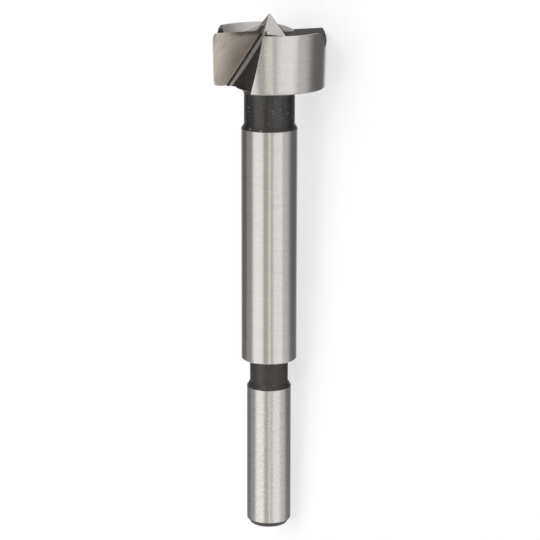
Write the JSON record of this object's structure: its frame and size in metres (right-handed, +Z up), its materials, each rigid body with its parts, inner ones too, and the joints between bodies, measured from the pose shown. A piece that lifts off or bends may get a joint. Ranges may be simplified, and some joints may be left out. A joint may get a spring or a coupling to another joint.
{
  "type": "forstner bit",
  "caption": "Forstner bit for flat-bottomed holes in wood: round shank, relief neck, ground body and a cutter head with curved rims, sloped lips, chip gullets and a centre point.",
  "frame": {"origin": "on the table, below the middle of the lying bit's bounding box", "axes": "+X from the shank's end towards the centre point, along the lying bit; +Z up; +Y across it"},
  "size_m": [0.094, 0.02, 0.0185],
  "materials": {
    "tool_steel": "bright ground steel on the shank, body and cutting edges, black oxide on the necks, recesses and milled gullet faces"
  },
  "bodies": {
    "root": {"forstner_bit": "tool_steel"}
  },
  "joints": []
}
